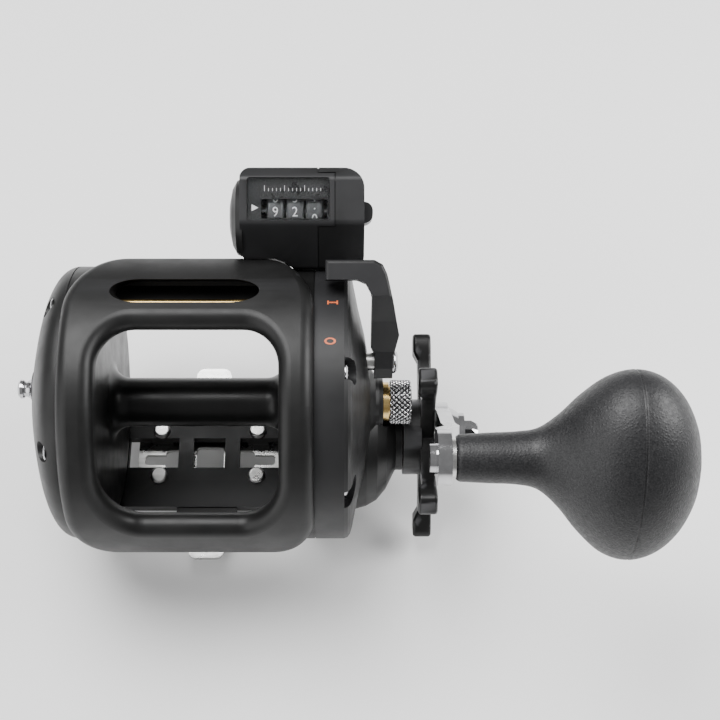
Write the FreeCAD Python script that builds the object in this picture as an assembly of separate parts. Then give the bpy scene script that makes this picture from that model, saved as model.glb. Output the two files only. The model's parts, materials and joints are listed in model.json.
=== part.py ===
import FreeCAD, Part
import math
import os

V = FreeCAD.Vector

# Everything is in millimetres. +X points to the handle side, +Y to the rod tip, +Z up from the rod.
# Most of the reel is drawn in "case" axes: origin on the spool axis, +X to the handle side,
# +U leaning from +Y towards +Z, and +C square to both. put() turns them into the row's frame.
SPOOL_HEIGHT = 40.0      # spool axis above the underside of the foot
LEAN = 29.0              # degrees that the case axes lean back about X

# Frame
HALF_WIDTH = 32.85       # frame centre to each cover seam
RING_R = 38.0
RING_BORE = 34.0
RING_WIDTH = 6.25
BODY_R = 42.0            # raised body round the thumb window
BODY_FRONT = 39.3
BODY_REAR = -41.0
BODY_SKIRT = -7.0        # lowest C of the raised body
BAR_SKIRT = 13.0         # lowest C of the front bar between the rings
WINDOW_X = (-23.2, 23.8)
WINDOW_U = (-29.0, 19.6)
ROLL = 3.4               # rolled edge of the raised body
INNER_ROLL = 2.0
BAY_X = 24.2             # half width of the line guide's bay under the front bar
SLOT_FLOOR_R = 35.2      # floor of the front bar's slot
SLOT_X = (-20.5, 18.5)
SLOT_U = 29.9
SLOT_WIDTH = 6.3
SLOT_END = 7.5           # length of each oval end
BULKHEAD_X = (28.4, 30.8)

# Case screws: radius of each ring of screws, and angles from C towards U
LEFT_SCREW_R = 34.6
LEFT_SCREWS = (48.0, -20.0, -132.0, 150.0)
RIGHT_SCREW_R = 33.0
RIGHT_SCREWS = (-41.0, 15.0, 139.0, -165.0)
SCREW_SEAT = 40.2        # X under the side plate's screw heads

# Seat and foot
SEAT_TOP = 6.5
SEAT_THICK = 3.0
SEAT_HALF_Y = 17.5
SEAT_WINDOWS = ((-24.0, -9.1), (-4.7, 4.8), (9.3, 24.0))
SEAT_WINDOW_Y = (-4.8, 5.0)
SADDLE_X = 8.8
SADDLE_Y = 21.0
FOOT_THICK = 1.5
FOOT_HALF_LENGTH = 31.6
FOOT_TAB = 6.2
FOOT_TIP = 5.0
FOOT_WING_X = 21.8
FOOT_WING_Y = 11.0
KEYHOLE_X = (8.4, 13.6, 19.8)   # inner end, step and outer end of each keyhole
KEYHOLE_Y = (3.2, 1.7)
RIVET_X = 14.55
RIVET_Y = 7.5
RIVET_R = 2.6
RIVET_SHANK_R = 1.6

# Spool and its shaft
ARBOR_R = 6.8
FLANGE_R = 32.3
FLANGE_X = 24.0
FLANGE_THICK = 2.0
FLANGE_FILLET = 5.0
SHAFT_R = 2.0
SHAFT_THIN_R = 1.6
RUN = 0.05               # radial clearance of a running fit
FIT = 0.3                # gap between parts that must not touch

# Drive side
DRIVE_U = -10.5
DRIVE_C = -14.05
MAIN_TEETH = 46
PINION_TEETH = 11
MAIN_X = (41.5, 45.0)
PINION_X = (40.5, 46.0)
GROOVE_X = (36.4, 38.0)
NECK_R = 9.6
NECK_END = 57.3

# Lever
LEVER_U = 11.4
LEVER_C = 8.0
LEVER_FACE = 53.8        # X of the lever's outer face at its pivot
TAB_U = (32.8, 38.0)
TAB_C = (22.0, 28.6)
TAB_X = 35.7

# Level wind
WORM_U = 34.0
WORM_C = -10.5
WORM_R = 2.6
JOURNAL_R = 1.5
GUIDE_ROD_U = 35.2
GUIDE_ROD_C = 3.0
GUIDE_ROD_R = 1.2
GUIDE_ROD_X = (-30.0, 30.0)
CROSS_ROD_U = 26.3       # brass rod that shows in the front bar's slot
CROSS_ROD_C = 25.2
CROSS_ROD_R = 1.5
CROSS_ROD_X = (-28.8, 30.8)
TRAIN_MODULE = 0.6
SPOOL_GEAR_TEETH = 10
IDLER_TEETH = 51
WORM_TEETH = 9
TRAIN_X = (-31.6, -28.9)

# Star drag and handle
STAR_HUB_R = 10.9
STAR_HUB_X = (57.6, 62.7)
STAR_ARM_X = (61.0, 66.3)
STAR_TIP_R = 31.0
STAR_ARMS = 5
ARM_X = (66.7, 70.5)
ARM_END_X = (63.7, 67.2)
KNOB_U = -12.6
KNOB_C = 45.0
KNOB_TURN = 30.0         # degrees that the paddle is turned about its spindle
# Paddle sections: X, half length, half thickness, drop of the centre
KNOB_SECTIONS = ((68.5, 5.9, 5.9, 0), (76.0, 6.3, 6.3, 0), (84.0, 6.7, 6.7, 0), (89.0, 8.0, 7.4, 0.2),
                 (94.0, 12.4, 9.8, 0.6), (99.0, 18.4, 13.4, 1.2), (105.0, 23.8, 16.6, 1.8),
                 (111.5, 26.0, 17.8, 2.0), (118.0, 24.4, 16.6, 2.0), (123.5, 19.4, 13.2, 2.0),
                 (127.2, 12.0, 8.4, 2.0), (128.8, 4.6, 3.4, 2.0))

# Counter
HOUSING_X = (13.0, 46.0)
HOUSING_SEAM = 33.6
SEAM = 0.3               # width and depth of the lines between covers
HOUSING_U = (36.6, 63.0)
HOUSING_C = (1.0, 25.0)
HOUSING_CHIN_U = 48.0    # the face slopes away below this line
HOUSING_CHIN_C = 14.0
PANEL_X = (15.0, 36.9)
PANEL_U = (48.6, 60.0)
DIGITS_X = (18.7, 36.2)
DIGITS_U = (48.8, 54.3)
WHEEL_U = 51.9
WHEEL_C = 16.6
WHEEL_R = 6.0
WHEEL_PITCH = 5.2
WHEEL_START = 20.0
AXLE_R = 1.5
CAP_U = 50.4             # middle of the domed cap on the counter's end
CAP_C = 13.5

# Clicker on the left cover
CLICKER_U = 3.6
CLICKER_C = -1.0
CLICKER_TRAVEL = 3.0


def put(shape):
    """Move a shape from the case axes to the row's frame."""
    placed = shape.copy()
    placed.rotate(V(0, 0, 0), V(1, 0, 0), LEAN)
    placed.translate(V(0, 0, SPOOL_HEIGHT))
    return placed


def save(name, shape):
    """Write one node as a STEP file."""
    whole = shape.removeSplitter()
    solids = whole.Solids
    result = solids[0] if len(solids) == 1 else Part.makeCompound(solids)
    result.exportStep("parts/" + name + ".step")
    print(name, len(solids), "solid(s)", "ok" if result.isValid() else "INVALID", round(result.Volume, 1))


def rod(radius, x0, x1, u=0.0, c=0.0):
    return Part.makeCylinder(radius, x1 - x0, V(x0, u, c), V(1, 0, 0))


def ring(outer, inner, x0, x1, u=0.0, c=0.0):
    return rod(outer, x0, x1, u, c).cut(rod(inner, x0 - 1, x1 + 1, u, c))


def block(x0, x1, y0, y1, z0, z1):
    return Part.makeBox(x1 - x0, y1 - y0, z1 - z0, V(x0, y0, z0))


def cone(r0, r1, x0, x1, u=0.0, c=0.0):
    return Part.makeCone(r0, r1, x1 - x0, V(x0, u, c), V(1, 0, 0))


def turned(points, u=0.0, c=0.0):
    """Turn a closed outline of (x, r) points about an axis along X."""
    wire = Part.makePolygon([V(x, u + r, c) for x, r in points + points[:1]])
    return Part.Face(wire).revolve(V(0, u, c), V(1, 0, 0), 360)


def smooth(points):
    curve = Part.BSplineCurve()
    curve.interpolate([V(x, r, 0) for x, r in points])
    return curve.toShape()


def domed(outer, inner):
    """Turn the skin between two smooth (x, r) curves, both running from the rim to the axis."""
    rim = Part.makeLine(V(*inner[0], 0), V(*outer[0], 0))
    nose = Part.makeLine(V(*outer[-1], 0), V(*inner[-1], 0))
    wire = Part.Wire(Part.__sortEdges__([rim, smooth(outer), nose, smooth(inner)]))
    return Part.Face(wire).revolve(V(0, 0, 0), V(1, 0, 0), 360)


def fuse(first, *others):
    return first.multiFuse(list(others))


def fillet(shape, radius, chosen):
    return shape.makeFillet(radius, [edge for edge in shape.Edges if chosen(edge)])


def turn_x(shape, degrees, u=0.0, c=0.0):
    copy = shape.copy()
    copy.rotate(V(0, u, c), V(1, 0, 0), degrees)
    return copy


def rounded_face(x0, x1, u0, u1, radii, c):
    """A rectangle across X and U at height C; radii run low-left, low-right, top-right, top-left."""
    corners = ((x0, u0, 1, 1), (x1, u0, -1, 1), (x1, u1, -1, -1), (x0, u1, 1, -1))
    edges, last, first = [], None, None
    for index, ((x, u, sx, su), r) in enumerate(zip(corners, radii)):
        along_x, along_u = V(x + sx * r, u, c), V(x, u + su * r, c)
        start, end = (along_u, along_x) if index % 2 == 0 else (along_x, along_u)
        bend = r * (1 - math.sqrt(0.5))
        if last is not None:
            edges.append(Part.makeLine(last, start))
        edges.append(Part.Arc(start, V(x + sx * bend, u + su * bend, c), end).toShape())
        first = first or start
        last = end
    edges.append(Part.makeLine(last, first))
    return Part.Face(Part.Wire(edges))


def rounded_prism(x0, x1, u0, u1, radii, c0, c1):
    return rounded_face(x0, x1, u0, u1, radii, c0).extrude(V(0, 0, c1 - c0))


def gear(teeth, module, bore, x0, x1, u, c, point_at):
    """A spur gear along X with the middle of a tooth at the angle point_at (degrees from U to C)."""
    pitch = teeth * module / 2
    tip, root = pitch + 0.75 * module, pitch - 1.05 * module
    wide, narrow = 0.56 * math.pi / teeth, 0.26 * math.pi / teeth
    points = []
    for tooth in range(teeth):
        middle = math.radians(point_at) + 2 * math.pi * tooth / teeth
        for radius, offset in ((root, -wide), (tip, -narrow), (tip, narrow), (root, wide)):
            points.append(V(x0, u + radius * math.cos(middle + offset), c + radius * math.sin(middle + offset)))
    blank = Part.Face(Part.makePolygon(points + points[:1])).extrude(V(x1 - x0, 0, 0))
    return blank.cut(rod(bore, x0 - 1, x1 + 1, u, c))


def line_angle(u0, c0, u1, c1):
    return math.degrees(math.atan2(c1 - c0, u1 - u0))


def mesh_angle(first_teeth, first_point, toward, teeth):
    """Tooth angle of a gear in mesh, given the first gear's tooth angle and the line between centres."""
    phase = (toward - first_point) * first_teeth / teeth
    return toward + 180 + phase + 180.0 / teeth


# Frame -------------------------------------------------------------------

def raised_body():
    tube = ring(BODY_R, RING_BORE, -HALF_WIDTH, HALF_WIDTH)
    outline = rounded_prism(-HALF_WIDTH, HALF_WIDTH, BODY_REAR, BODY_FRONT, (12, 12, 15, 15), BODY_SKIRT, 45)
    window = rounded_prism(*WINDOW_X, *WINDOW_U, (11, 11, 9.5, 9.5), 0, 50)
    body = tube.common(outline).cut(window)

    def rolled(edge):
        box = edge.BoundBox
        middle = edge.valueAt((edge.FirstParameter + edge.LastParameter) / 2)
        return math.hypot(middle.y, middle.z) > BODY_R - 0.2 and box.ZMin > BODY_SKIRT + 0.2
    body = fillet(body, ROLL, rolled)

    def inner_rim(edge):
        middle = edge.valueAt((edge.FirstParameter + edge.LastParameter) / 2)
        near = abs(math.hypot(middle.y, middle.z) - RING_BORE) < 0.3
        return near and abs(middle.x) < WINDOW_X[1] + 0.1 and edge.BoundBox.ZMin > 5
    return fillet(body, INNER_ROLL, inner_rim)


def slot():
    """The front bar's slot: straight in the middle, with long oval ends."""
    half = SLOT_WIDTH / 2
    x0, x1 = SLOT_X[0] + SLOT_END, SLOT_X[1] - SLOT_END
    opening = block(x0, x1, SLOT_U - half, SLOT_U + half, 15, 50)
    for x in (x0, x1):
        oval = Part.Ellipse(V(x, SLOT_U, 15), SLOT_END, half).toShape()
        opening = opening.fuse(Part.Face(Part.Wire([oval])).extrude(V(0, 0, 35)))
    return opening.removeSplitter()


def frame_node():
    body = raised_body()
    bay = block(-BAY_X, BAY_X, 20, 50, BODY_SKIRT - 5, BAR_SKIRT)
    body = body.cut(bay).cut(slot().cut(rod(SLOT_FLOOR_R, -40, 40)))
    for side in (-1, 1):
        x0, x1 = sorted((side * HALF_WIDTH, side * (HALF_WIDTH - RING_WIDTH)))
        body = body.fuse(ring(RING_R, RING_BORE, x0, x1))
    bulkhead = ring(RING_BORE + 1, 5.5, *BULKHEAD_X)
    for u, c, r in ((-20, 8, 6), (-6, 21, 6), (14, 17, 6), (18, -14, 6)):
        bulkhead = bulkhead.cut(rod(r, 25, 33, u, c))
    body = body.fuse(bulkhead)
    body = body.fuse(rod(4.4, -HALF_WIDTH, RING_WIDTH - HALF_WIDTH, WORM_U, WORM_C))
    body = body.fuse(rod(3.6, HALF_WIDTH - RING_WIDTH, HALF_WIDTH - 3, WORM_U, WORM_C))
    body = body.cut(ring(RING_R + 1, RING_R - SEAM, -HALF_WIDTH, SEAM - HALF_WIDTH))
    body = body.cut(ring(RING_R + 1, RING_R - SEAM, HALF_WIDTH - SEAM, HALF_WIDTH))
    body = body.cut(rod(CROSS_ROD_R, *CROSS_ROD_X, CROSS_ROD_U, CROSS_ROD_C))
    body = body.cut(rod(GUIDE_ROD_R, *GUIDE_ROD_X, GUIDE_ROD_U, GUIDE_ROD_C))
    body = body.cut(rod(WORM_R, -HALF_WIDTH - 1, HALF_WIDTH - 3, WORM_U, WORM_C))
    body = body.cut(rod(3.5, -HALF_WIDTH - 1, TRAIN_X[1] + FIT, WORM_U, WORM_C))
    body = body.cut(rod(RING_BORE - 0.9, -HALF_WIDTH - 1, HALF_WIDTH - RING_WIDTH - 0.1))
    for angle in LEFT_SCREWS:
        body = body.cut(rod(1.5, -HALF_WIDTH - 1, -29.0, *around(angle, LEFT_SCREW_R)))
    for angle in RIGHT_SCREWS:
        body = body.cut(rod(1.5, 28.0, HALF_WIDTH + 1, *around(angle, RIGHT_SCREW_R)))
    idler_u, idler_c = idler_centre()
    pocket = rod(IDLER_TEETH * TRAIN_MODULE / 2 + 1.2, -HALF_WIDTH - 1, TRAIN_X[1] + FIT, idler_u, idler_c)
    return put(body.cut(pocket)).fuse(seat())


def seat():
    """The reel seat, drawn in the row's frame."""
    bottom = SEAT_TOP - SEAT_THICK
    plate = block(-27, 27, -SEAT_HALF_Y, SEAT_HALF_Y, bottom, SEAT_TOP)
    for y in (-1, 1):
        y0, y1 = sorted((y * 7.0, y * SADDLE_Y))
        plate = plate.fuse(block(-SADDLE_X, SADDLE_X, y0, y1, FOOT_THICK, SEAT_TOP - 0.8))
    for x in (-RIVET_X, RIVET_X):
        for y in (-RIVET_Y, RIVET_Y):
            plate = plate.fuse(Part.makeCylinder(4.0, bottom, V(x, y, FOOT_THICK)))
            plate = plate.cut(Part.makeCylinder(RIVET_SHANK_R, 20, V(x, y, -1)))
    for x0, x1 in SEAT_WINDOWS:
        plate = plate.cut(block(x0, x1, *SEAT_WINDOW_Y, -1, SEAT_TOP + 1))
    return plate


def foot_node():
    half = FOOT_HALF_LENGTH
    outline = [(-FOOT_TIP, -half), (FOOT_TIP, -half), (FOOT_TAB, -half + 8), (FOOT_TAB, -15), (9, -FOOT_WING_Y),
               (FOOT_WING_X, -FOOT_WING_Y), (FOOT_WING_X, FOOT_WING_Y), (9, FOOT_WING_Y), (FOOT_TAB, 15),
               (FOOT_TAB, half - 8), (FOOT_TIP, half), (-FOOT_TIP, half), (-FOOT_TAB, half - 8),
               (-FOOT_TAB, 15), (-9, FOOT_WING_Y), (-FOOT_WING_X, FOOT_WING_Y), (-FOOT_WING_X, -FOOT_WING_Y),
               (-9, -FOOT_WING_Y), (-FOOT_TAB, -15), (-FOOT_TAB, -half + 8)]
    face = Part.Face(Part.makePolygon([V(x, y, 0) for x, y in outline + outline[:1]]))
    plate = face.extrude(V(0, 0, FOOT_THICK))
    plate = fillet(plate, 2.5, lambda e: e.BoundBox.ZLength > 1 and abs(e.BoundBox.YMin) > 30)
    for x in (-RIVET_X, RIVET_X):
        side = math.copysign(1, x)
        wide = sorted((side * KEYHOLE_X[0], side * KEYHOLE_X[1]))
        narrow = sorted((side * KEYHOLE_X[0], side * KEYHOLE_X[2]))
        plate = plate.cut(rounded_prism(*wide, -KEYHOLE_Y[0], KEYHOLE_Y[0], (1.4,) * 4, -1, 3))
        plate = plate.cut(rounded_prism(*narrow, -KEYHOLE_Y[1], KEYHOLE_Y[1], (1.0,) * 4, -1, 3))
        for y in (-RIVET_Y, RIVET_Y):
            plate = plate.cut(Part.makeCylinder(RIVET_SHANK_R, 5, V(x, y, -1)))
    return plate.cut(rounded_prism(-4.2, 4.2, -4.2, 4.2, (1.2,) * 4, -1, 3))


def rivets_node():
    rivets = []
    for x in (-RIVET_X, RIVET_X):
        for y in (-RIVET_Y, RIVET_Y):
            shank = Part.makeCylinder(RIVET_SHANK_R, SEAT_TOP, V(x, y, 0))
            head = Part.makeCylinder(RIVET_R, 1.2, V(x, y, SEAT_TOP))
            head = fillet(head, 0.8, lambda e: e.BoundBox.ZMin > SEAT_TOP + 1)
            rivets.append(shank.fuse(head))
    return Part.makeCompound(rivets)


# Spool and level wind ----------------------------------------------------

def spool_node():
    inner, outer = FLANGE_X, FLANGE_X + FLANGE_THICK
    outline = [(-outer, SHAFT_R), (-outer, FLANGE_R), (-inner, FLANGE_R), (-inner, ARBOR_R),
               (inner, ARBOR_R), (inner, FLANGE_R), (outer, FLANGE_R), (outer, SHAFT_R)]
    spool = turned(outline)

    def at_arbor(edge):
        box = edge.BoundBox
        return abs(box.ZLength - 2 * ARBOR_R) < 0.1 and abs(abs(box.XMin) - inner) < 0.1
    spool = fillet(spool, FLANGE_FILLET, at_arbor)

    def at_rim(edge):
        return edge.BoundBox.ZLength > 2 * FLANGE_R - 0.1
    return put(fillet(spool, 0.8, at_rim))


def spool_shaft_node():
    shaft = fuse(rod(SHAFT_R, -38.0, 33.0), rod(SHAFT_THIN_R, 33.0, 56.5))
    return put(shaft.cut(Part.makeCylinder(0.8, 8, V(34.3, -4, 0), V(0, 1, 0))))


def cross_pin_node():
    return put(Part.makeCylinder(0.8, 6.4, V(34.3, -3.2, 0), V(0, 1, 0)))


def idler_centre():
    """Where the idler meshes with both the spool gear and the worm gear, on the C- side of the line."""
    spool_r, idler_r, worm_r = (n * TRAIN_MODULE / 2 for n in (SPOOL_GEAR_TEETH, IDLER_TEETH, WORM_TEETH))
    near, far, span = spool_r + idler_r, idler_r + worm_r, math.hypot(WORM_U, WORM_C)
    bend = math.acos((near ** 2 + span ** 2 - far ** 2) / (2 * near * span))
    angle = math.atan2(WORM_C, WORM_U) - bend
    return near * math.cos(angle), near * math.sin(angle)


def level_wind_train():
    """Spool gear, idler and worm gear, meshed in that order."""
    idler_u, idler_c = idler_centre()
    toward_idler = line_angle(0, 0, idler_u, idler_c)
    idler_point = mesh_angle(SPOOL_GEAR_TEETH, 0, toward_idler, IDLER_TEETH)
    toward_worm = line_angle(idler_u, idler_c, WORM_U, WORM_C)
    worm_point = mesh_angle(IDLER_TEETH, idler_point, toward_worm, WORM_TEETH)
    return {
        "spool_gear": gear(SPOOL_GEAR_TEETH, TRAIN_MODULE, SHAFT_R, *TRAIN_X, 0, 0, 0),
        "idler_gear": gear(IDLER_TEETH, TRAIN_MODULE, 2.0 + RUN, *TRAIN_X, idler_u, idler_c, idler_point),
        "worm_gear": gear(WORM_TEETH, TRAIN_MODULE, JOURNAL_R, *TRAIN_X, WORM_U, WORM_C, worm_point),
    }


def worm_shaft_node():
    body = rod(WORM_R - 0.3, -24.0, 24.0, WORM_U, WORM_C)
    for index in range(16):
        x = -22.5 + index * 3.0
        body = body.fuse(rod(WORM_R, x - 0.9, x + 0.9, WORM_U, WORM_C))
    left_journal = rod(JOURNAL_R, -31.9, -24.0, WORM_U, WORM_C)
    right_journal = rod(JOURNAL_R, 24.0, 29.4, WORM_U, WORM_C)
    return put(fuse(body, left_journal, right_journal))


def worm_bushings_node():
    left = ring(WORM_R, JOURNAL_R + RUN, -28.3, -26.6, WORM_U, WORM_C)
    right = ring(WORM_R, JOURNAL_R + RUN, 26.6, 28.3, WORM_U, WORM_C)
    return put(Part.makeCompound([left, right]))


def line_guide_node():
    """A follower on the worm, a sleeve on the guide rod, and the line's eye between them."""
    follower = ring(4.1, WORM_R + RUN, -3, 3, WORM_U, WORM_C)
    sleeve = ring(2.4, GUIDE_ROD_R + RUN, -5, 5, GUIDE_ROD_U, GUIDE_ROD_C)
    pad = rounded_prism(-4.2, 4.2, 33.4, 36.6, (1.2,) * 4, -8, 3)
    pad = pad.cut(rod(3.0, -6, 6, WORM_U, WORM_C)).cut(rod(1.8, -6, 6, GUIDE_ROD_U, GUIDE_ROD_C))
    throat = Part.makeCylinder(2.2, 12, V(0, 28, -4.4), V(0, 1, 0))
    throat = throat.fuse(Part.makeCylinder(2.2, 12, V(0, 28, -1.4), V(0, 1, 0)))
    throat = throat.fuse(block(-2.2, 2.2, 28, 40, -4.4, -1.4))
    return put(fuse(follower, sleeve, pad).cut(throat))


def rods():
    return {
        "guide_rod": put(rod(GUIDE_ROD_R, *GUIDE_ROD_X, GUIDE_ROD_U, GUIDE_ROD_C)),
        "cross_rod": put(rod(CROSS_ROD_R, *CROSS_ROD_X, CROSS_ROD_U, CROSS_ROD_C)),
    }


# Covers ------------------------------------------------------------------

COVER_OUTER = ((-HALF_WIDTH, RING_R), (-36.2, 36.5), (-38.4, 33.5), (-40.5, 28.0), (-42.4, 21.0),
               (-44.3, 12.5), (-45.0, 0.0))
INNER_WALL = 1.5         # wall that closes the left cover towards the spool
COVER_SKIN = 2.0


def around(angle, radius):
    """U and C of a point at an angle measured from C towards U."""
    return radius * math.sin(math.radians(angle)), radius * math.cos(math.radians(angle))


def left_cover_node():
    inner = [(min(x + COVER_SKIN, -HALF_WIDTH), max(r - COVER_SKIN, 0.0)) for x, r in COVER_OUTER]
    cover = domed(COVER_OUTER, inner)
    cover = cover.fuse(rod(RING_R - 1, -HALF_WIDTH - INNER_WALL, -HALF_WIDTH))
    idler_u, idler_c = idler_centre()
    cover = cover.fuse(rod(6.5, -43.6, -33.5)).fuse(rod(3.2, -42.0, -32.2, idler_u, idler_c))
    cover = cover.fuse(rod(2.0, -41.0, -28.8, idler_u, idler_c))
    cover = cover.cut(rod(4.5, -38.6, -30.0)).cut(rod(SHAFT_R + 0.4, -39.5, -30.0))
    stem = rounded_prism(-2.2, 2.2, -2.2, 2.2 + CLICKER_TRAVEL, (2.15,) * 4, 0, 12)
    stem.rotate(V(0, 0, 0), V(0, 1, 0), -90)
    stem.translate(V(-40.2, CLICKER_U, CLICKER_C))
    cover = cover.cut(stem)
    for angle in LEFT_SCREWS:
        u, c = around(angle, LEFT_SCREW_R)
        cover = cover.fuse(rod(3.2, -38.0, -HALF_WIDTH, u, c).common(domed_solid()))
        cover = cover.cut(rod(1.5, -45, -30, u, c)).cut(rod(2.7, -45, -36.2, u, c))
    return put(cover)


def domed_solid():
    """The whole inside of the left cover's outer skin."""
    axis = Part.makeLine(V(-45.0, 0, 0), V(-HALF_WIDTH, 0, 0))
    rim = Part.makeLine(V(-HALF_WIDTH, 0, 0), V(-HALF_WIDTH, RING_R, 0))
    return Part.Face(Part.Wire([axis, rim, smooth(COVER_OUTER)])).revolve(V(0, 0, 0), V(1, 0, 0), 360)


def left_screws_node():
    screws = []
    for angle in LEFT_SCREWS:
        u, c = around(angle, LEFT_SCREW_R)
        shank, head = rod(1.5, -36.2, -29.2, u, c), rod(2.4, -36.9, -36.2, u, c)
        screws.append(put(fuse(shank, head)))
    return Part.makeCompound(screws)


PLATE_OUTER = [(HALF_WIDTH, 0), (HALF_WIDTH, RING_R), (40.6, RING_R), (41.6, 37.6), (42.3, 36.6), (42.8, 35.0),
               (43.4, 32.0), (44.6, 26.0), (46.3, 19.0), (47.3, 13.0), (47.9, 9.6), (49.4, 7.6), (50.4, 7.0),
               (51.5, 6.7), (51.5, 0)]


def plate_outside():
    dome = turned(PLATE_OUTER)
    hump = turned([(40.0, 0), (40.0, 21.6), (43.5, 21.0), (47.0, 20.0), (50.0, 18.3), (52.6, 15.2), (54.5, 11.4),
                   (55.4, NECK_R), (NECK_END, NECK_R), (NECK_END, 0)], DRIVE_U, DRIVE_C)
    return dome.fuse(hump)


def right_plate_node():
    plate = plate_outside()
    plate = plate.cut(rod(35.6, 30, 40.3)).cut(rod(5.6, 40, 47.9)).cut(rod(4.55, 45, 52))
    plate = plate.cut(rod(16.2, 40, 48.2, DRIVE_U, DRIVE_C)).cut(rod(7.0, 46, 56.0, DRIVE_U, DRIVE_C))
    plate = plate.cut(rod(4.2, 54, 60, DRIVE_U, DRIVE_C)).cut(rod(6.9, 51.5, 60))
    plate = plate.cut(rod(2.4 + RUN, 38, 55, LEVER_U, LEVER_C))
    for angle in RIGHT_SCREWS:
        u, c = around(angle, RIGHT_SCREW_R)
        plate = plate.fuse(rod(3.2, HALF_WIDTH, 41.5, u, c).common(rod(RING_R - 0.5, 30, 42)))
        plate = plate.cut(rod(1.5, 30, 45, u, c)).cut(rod(3.3, SCREW_SEAT, 50, u, c))
        plate = plate.cut(turn_x(block(SCREW_SEAT + 0.5, 50, -2.9, 2.9, RIGHT_SCREW_R, RING_R + 2), -angle))
    return put(plate)


def right_screws_node():
    screws = []
    for angle in RIGHT_SCREWS:
        u, c = around(angle, RIGHT_SCREW_R)
        shank, head = rod(1.5, 29.0, SCREW_SEAT, u, c), rod(2.8, SCREW_SEAT, SCREW_SEAT + 1.5, u, c)
        screws.append(put(fuse(shank, head)))
    return Part.makeCompound(screws)


# Drive side --------------------------------------------------------------

def bridge_plate_node():
    plate = rod(33.4, 31.0, 32.6).cut(rod(3.6, 30, 34))
    for u, c in ((-20, 8), (18, -14), (-4, 22)):
        plate = plate.cut(rod(1.8, 30, 34, u, c))
    for angle in RIGHT_SCREWS:
        u, c = around(angle, RIGHT_SCREW_R)
        plate = plate.cut(rod(3.4, 30, 34, u, c))
    plate = plate.cut(rod(3.0, 30, 34, DRIVE_U, DRIVE_C))
    return put(plate)


def bearings():
    return {
        "left_spool_bearing": put(ring(4.5, SHAFT_R + RUN, -38.5, -35.5)),
        "right_spool_bearing": put(ring(5.5, SHAFT_R + RUN, 28.4, 30.8)),
        "drive_shaft_bush": put(ring(3.0, 2.5 + RUN, 31.0, 33.4, DRIVE_U, DRIVE_C)),
        "anti_reverse_bearing": put(ring(7.0, 4.0 + RUN, 49.6, 55.4, DRIVE_U, DRIVE_C)),
    }


def main_gear_node():
    toward = line_angle(DRIVE_U, DRIVE_C, 0, 0)
    module = 2 * math.hypot(DRIVE_U, DRIVE_C) / (MAIN_TEETH + PINION_TEETH)
    return put(gear(MAIN_TEETH, module, 6.0, *MAIN_X, DRIVE_U, DRIVE_C, toward))


def pinion_node():
    toward = line_angle(DRIVE_U, DRIVE_C, 0, 0)
    module = 2 * math.hypot(DRIVE_U, DRIVE_C) / (MAIN_TEETH + PINION_TEETH)
    point = mesh_angle(MAIN_TEETH, toward, toward, PINION_TEETH)
    bore = SHAFT_THIN_R + RUN
    pinion = gear(PINION_TEETH, module, bore, *PINION_X, 0, 0, point)
    pinion = fuse(pinion, ring(2.4, bore, GROOVE_X[0] - 0.1, PINION_X[0]), ring(4.4, bore, 33.4, GROOVE_X[0]),
                  ring(4.4, bore, GROOVE_X[1], 39.2))
    return put(pinion.cut(block(30, 35.3, -5, 5, -0.9, 0.9)))


def yoke_node():
    x0, x1 = GROOVE_X[0] + 0.2, GROOVE_X[1] - 0.2
    bar = rounded_prism(0, x1 - x0, -6.0, 15.0, (0.3,) * 4, -3.5, 7.5)
    bar.translate(V(x0, 0, 0))
    bar = bar.cut(rod(2.6, 30, 45)).cut(block(30, 45, -8, 0, -2.6, 2.6))
    bar = bar.cut(rod(2.9, 30, 45, LEVER_U, LEVER_C)).cut(block(30, 45, LEVER_U - 2.9, 16, LEVER_C - 2.9, 12))
    return put(bar)


def drive_shaft_node():
    shaft = fuse(rod(2.5, 31.2, 41.5, DRIVE_U, DRIVE_C), rod(6.0, 39.8, 41.5, DRIVE_U, DRIVE_C),
                 rod(3.0, 41.5, 49.0, DRIVE_U, DRIVE_C), rod(3.0, 49.0, 75.3, DRIVE_U, DRIVE_C))
    return put(shaft)


def drag_stack():
    """Washers between the main gear and the sleeve, from the gear outwards."""
    stack = [ring(5.9, 3.0, 41.5, 42.6, DRIVE_U, DRIVE_C), ring(5.9, 3.0, 43.9, 45.0, DRIVE_U, DRIVE_C)]
    return {
        "drag_washers": put(Part.makeCompound([ring(5.9, 3.0, 42.6, 43.9, DRIVE_U, DRIVE_C)])),
        "pressure_washers": put(Part.makeCompound(stack)),
        "clutch_sleeve": put(fuse(ring(4.0, 3.0, 45.0, 57.0, DRIVE_U, DRIVE_C),
                                  ring(6.4, 3.0, 45.0, 46.2, DRIVE_U, DRIVE_C))),
    }


def cast_control():
    brass = fuse(ring(4.5, 1.85, 48.4, 57.4), ring(5.6, 1.85, 51.6, 53.1))
    cap = fillet(rod(6.2, 53.4, 59.4), 0.8, lambda e: e.BoundBox.XMin > 59.0)
    return {"cast_control_boss": put(brass), "cast_control_cap": put(cap.cut(rod(4.5 + RUN, 53, 57.8)))}


# Lever and clicker -------------------------------------------------------

def lever_rounded(box):
    """The lever's upper edges and its outer corners, in case axes."""
    upper = box.ZMin > TAB_C[1] - 0.1 and box.YMax > TAB_U[0] + 0.1
    corner = box.XMin > 48.5 and box.YMin > 34 and box.YLength < 0.1
    return upper or corner


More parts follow.
